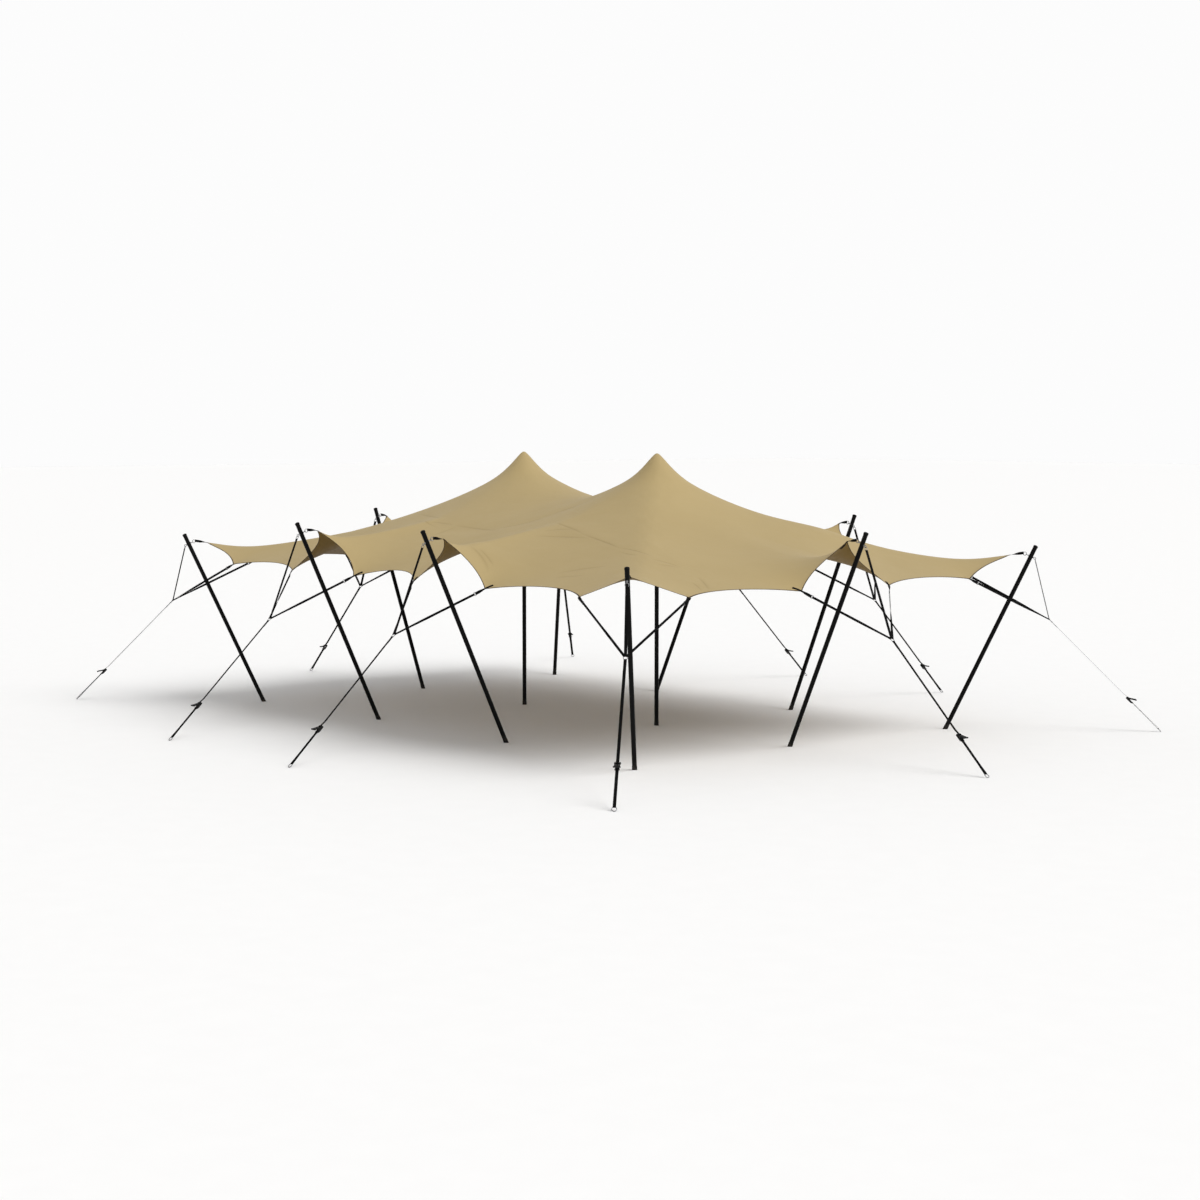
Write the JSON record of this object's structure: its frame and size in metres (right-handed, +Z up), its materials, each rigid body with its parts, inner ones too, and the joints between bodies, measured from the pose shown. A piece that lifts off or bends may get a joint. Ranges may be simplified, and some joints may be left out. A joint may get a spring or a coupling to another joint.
{
  "type": "stretch tent",
  "caption": "Stretch tent: one tan stretched canopy over two centre poles, with leaning black side poles, webbing guys and ratchets.",
  "frame": {"origin": "on the ground under the middle of the canopy", "axes": "+X along the tent's long way, +Y along its short way, +Z up"},
  "size_m": [15.221, 12.141, 3.857],
  "materials": {
    "canopy_fabric": "matt coated stretch knit, tan",
    "black_tube": "satin black coated tube",
    "black_webbing": "woven black polyester webbing",
    "black_steel": "black coated pressed steel",
    "ring_steel": "bright zinc plated steel"
  },
  "bodies": {
    "tent": {"canopy": "canopy_fabric", "centre_pole_left": "black_tube", "centre_pole_right": "black_tube", "pole_corner_front_right": "black_tube", "guy_corner_front_right": "black_webbing", "ratchet_corner_front_right": "black_steel", "pole_front_right": "black_tube", "guy_front_right": "black_webbing", "ratchet_front_right": "black_steel", "pole_corner_back_right": "black_tube", "guy_corner_back_right": "black_webbing", "ratchet_corner_back_right": "black_steel", "pole_back_right": "black_tube", "guy_back_right": "black_webbing", "ratchet_back_right": "black_steel", "pole_right": "black_tube", "guy_right": "black_webbing", "ratchet_right": "black_steel", "pole_corner_front_left": "black_tube", "guy_corner_front_left": "black_webbing", "ratchet_corner_front_left": "black_steel", "pole_front_left": "black_tube", "guy_front_left": "black_webbing", "ratchet_front_left": "black_steel", "pole_corner_back_left": "black_tube", "guy_corner_back_left": "black_webbing", "ratchet_corner_back_left": "black_steel", "pole_back_left": "black_tube", "guy_back_left": "black_webbing", "ratchet_back_left": "black_steel", "pole_left": "black_tube", "guy_left": "black_webbing", "ratchet_left": "black_steel"},
    "handle_corner_front_right": {"ratchet_handle_corner_front_right": "black_steel"},
    "handle_front_right": {"ratchet_handle_front_right": "black_steel"},
    "handle_corner_back_right": {"ratchet_handle_corner_back_right": "black_steel"},
    "handle_back_right": {"ratchet_handle_back_right": "black_steel"},
    "handle_right": {"ratchet_handle_right": "black_steel"},
    "handle_corner_front_left": {"ratchet_handle_corner_front_left": "black_steel"},
    "handle_front_left": {"ratchet_handle_front_left": "black_steel"},
    "handle_corner_back_left": {"ratchet_handle_corner_back_left": "black_steel"},
    "handle_back_left": {"ratchet_handle_back_left": "black_steel"},
    "handle_left": {"ratchet_handle_left": "black_steel"}
  },
  "joints": [
    {"name": "turn_corner_front_right", "type": "hinge", "parent": "tent", "child": "handle_corner_front_right", "pos_m": [6.17343, -4.64343, 0.46578], "axis": [-0.7071, -0.7071, 0], "range_deg": [-21, 117]},
    {"name": "turn_front_right", "type": "hinge", "parent": "tent", "child": "handle_front_right", "pos_m": [1.525, -5.5937, 0.47001], "axis": [-1, 0, 0], "range_deg": [-21, 117]},
    {"name": "turn_corner_back_right", "type": "hinge", "parent": "tent", "child": "handle_corner_back_right", "pos_m": [6.17343, 4.64343, 0.46578], "axis": [0.7071, -0.7071, 0], "range_deg": [-21, 117]},
    {"name": "turn_back_right", "type": "hinge", "parent": "tent", "child": "handle_back_right", "pos_m": [1.525, 5.5937, 0.47001], "axis": [1, 0, 0], "range_deg": [-21, 117]},
    {"name": "turn_right", "type": "hinge", "parent": "tent", "child": "handle_right", "pos_m": [7.1337, 0, 0.47001], "axis": [0, -1, 0], "range_deg": [-21, 117]},
    {"name": "turn_corner_front_left", "type": "hinge", "parent": "tent", "child": "handle_corner_front_left", "pos_m": [-6.17343, -4.64343, 0.46578], "axis": [-0.7071, 0.7071, 0], "range_deg": [-21, 117]},
    {"name": "turn_front_left", "type": "hinge", "parent": "tent", "child": "handle_front_left", "pos_m": [-1.525, -5.5937, 0.47001], "axis": [-1, 0, 0], "range_deg": [-21, 117]},
    {"name": "turn_corner_back_left", "type": "hinge", "parent": "tent", "child": "handle_corner_back_left", "pos_m": [-6.17343, 4.64343, 0.46578], "axis": [0.7071, 0.7071, 0], "range_deg": [-21, 117]},
    {"name": "turn_back_left", "type": "hinge", "parent": "tent", "child": "handle_back_left", "pos_m": [-1.525, 5.5937, 0.47001], "axis": [1, 0, 0], "range_deg": [-21, 117]},
    {"name": "turn_left", "type": "hinge", "parent": "tent", "child": "handle_left", "pos_m": [-7.1337, 0, 0.47001], "axis": [0, 1, 0], "range_deg": [-21, 117]}
  ]
}
